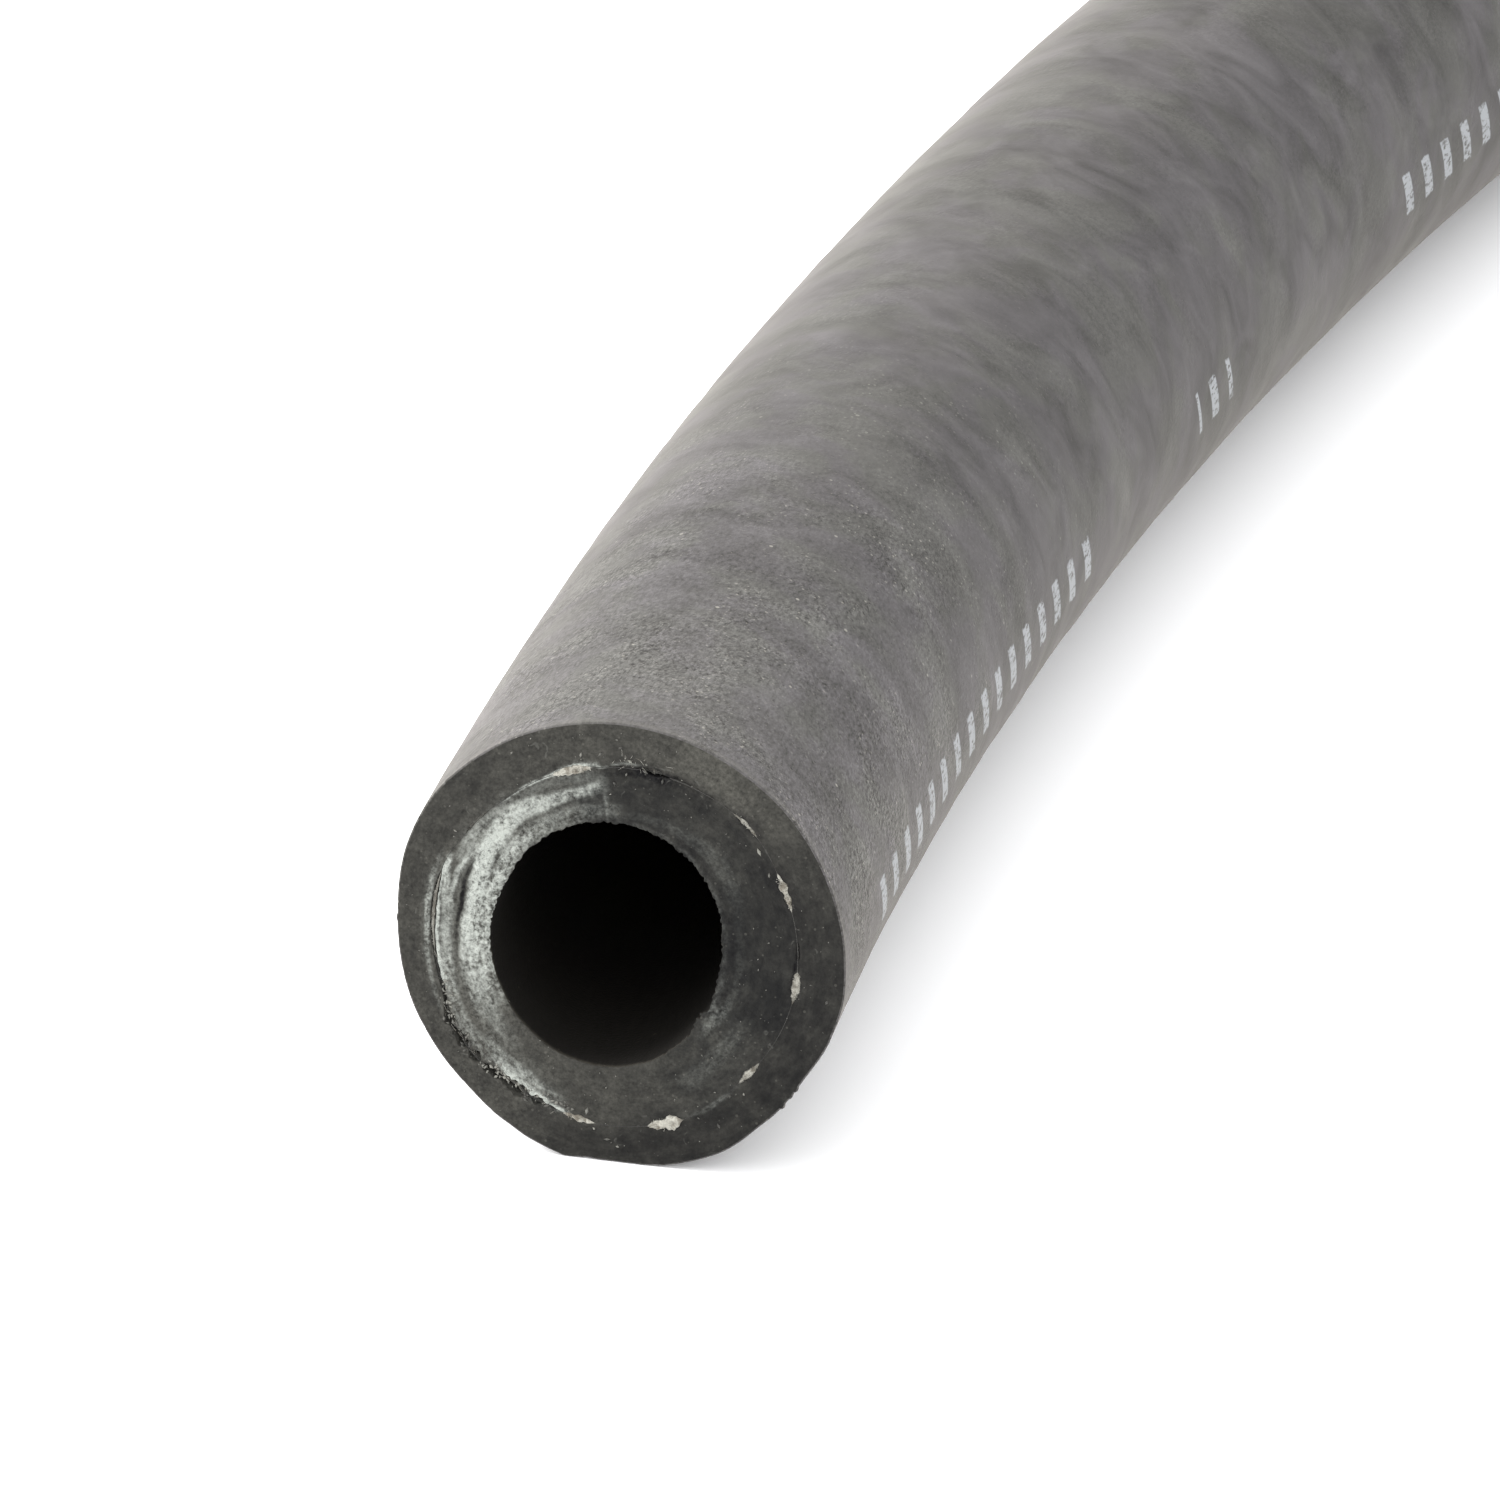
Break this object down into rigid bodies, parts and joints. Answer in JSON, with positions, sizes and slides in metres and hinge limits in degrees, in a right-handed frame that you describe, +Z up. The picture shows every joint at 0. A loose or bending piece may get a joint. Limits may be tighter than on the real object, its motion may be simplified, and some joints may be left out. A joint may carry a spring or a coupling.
{
  "type": "crankcase breather hose",
  "caption": "Length of reinforced rubber hose with a round bore, lying in a gentle bend, cut bare at both ends: rubber inner tube, textile reinforcement and rubber cover.",
  "frame": {"origin": "bottom centre of the part's box, on the surface that the hose lies on", "axes": "+X from the near cut end to the far cut end, along the chord of the bend; +Y to the outside of the bend; +Z up"},
  "size_m": [0.3062, 0.0422, 0.022],
  "materials": {
    "cover_rubber": "matt dark grey rubber with a pale dusty bloom, fine specks and low ripples from the yarns under it",
    "tube_rubber": "matt black rubber, knife-cut and smeared with white chalk at the end",
    "yarn": "undyed yarn, cut short and fraying at the ends"
  },
  "bodies": {
    "root": {"inner_tube": "tube_rubber", "textile_reinforcement": "yarn", "outer_cover": "cover_rubber"}
  },
  "joints": []
}
